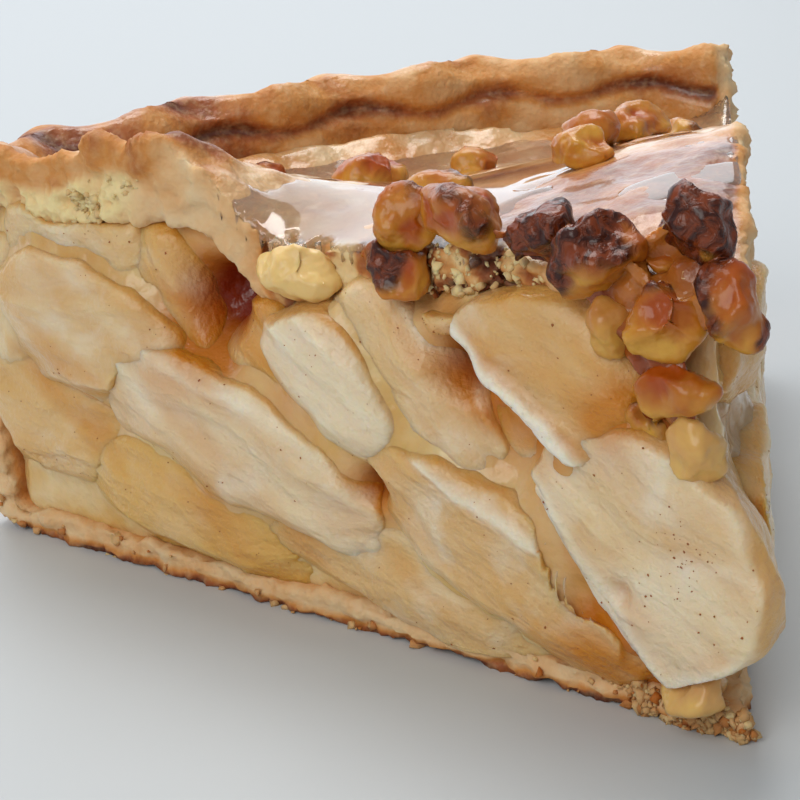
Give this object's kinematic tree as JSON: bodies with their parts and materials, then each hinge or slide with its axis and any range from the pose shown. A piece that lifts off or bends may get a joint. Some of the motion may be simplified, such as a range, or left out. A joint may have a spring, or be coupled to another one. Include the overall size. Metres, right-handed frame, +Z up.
{
  "type": "slice of apple pie with nuts",
  "caption": "Wedge-shaped slice of two-crust apple pie with a crimped rim, sliced apple showing in the cut faces and glazed chopped nuts on top.",
  "frame": {"origin": "under the middle of the slice's overall box, on the surface it stands on", "axes": "+Z up; +Y from the point of the slice to its crimped rim, along the middle line; +X to the side of the far cut face"},
  "size_m": [0.1124, 0.1148, 0.0555],
  "materials": {
    "crust": "baked golden-brown pastry, dull, with a glazed rim",
    "lid": "baked pastry under a shiny sugar glaze",
    "filling": "set apple juices and soft apple, moist and slightly see-through",
    "apple": "baked apple, moist, cream to beige",
    "nut": "chopped nut in caramel glaze, tan to dark brown"
  },
  "bodies": {
    "root": {"bottom_crust": "crust", "top_crust": "lid", "apple_filling": "filling", "apple_slice_01": "apple", "apple_slice_02": "apple", "apple_slice_03": "apple", "apple_slice_04": "apple", "apple_slice_05": "apple", "apple_slice_06": "apple", "apple_slice_07": "apple", "apple_slice_08": "apple", "apple_slice_09": "apple", "apple_slice_10": "apple", "apple_slice_11": "apple", "apple_slice_12": "apple", "apple_slice_13": "apple", "apple_slice_14": "apple", "apple_slice_15": "apple", "apple_slice_16": "apple", "apple_slice_17": "apple", "apple_slice_18": "apple", "apple_slice_19": "apple", "apple_slice_20": "apple", "apple_slice_21": "apple", "apple_slice_22": "apple", "apple_slice_23": "apple", "apple_slice_24": "apple", "apple_slice_25": "apple", "nut_01": "nut", "nut_02": "nut", "nut_03": "nut", "nut_04": "nut", "nut_05": "nut", "nut_06": "nut", "nut_07": "nut", "nut_08": "nut", "nut_09": "nut", "nut_10": "nut", "nut_11": "nut", "nut_12": "nut", "nut_13": "nut", "nut_14": "nut", "nut_15": "nut", "nut_16": "nut", "nut_17": "nut", "nut_18": "nut", "nut_19": "nut", "nut_20": "nut", "nut_21": "nut", "nut_22": "nut", "nut_23": "nut", "nut_24": "nut", "nut_25": "nut"}
  },
  "joints": []
}
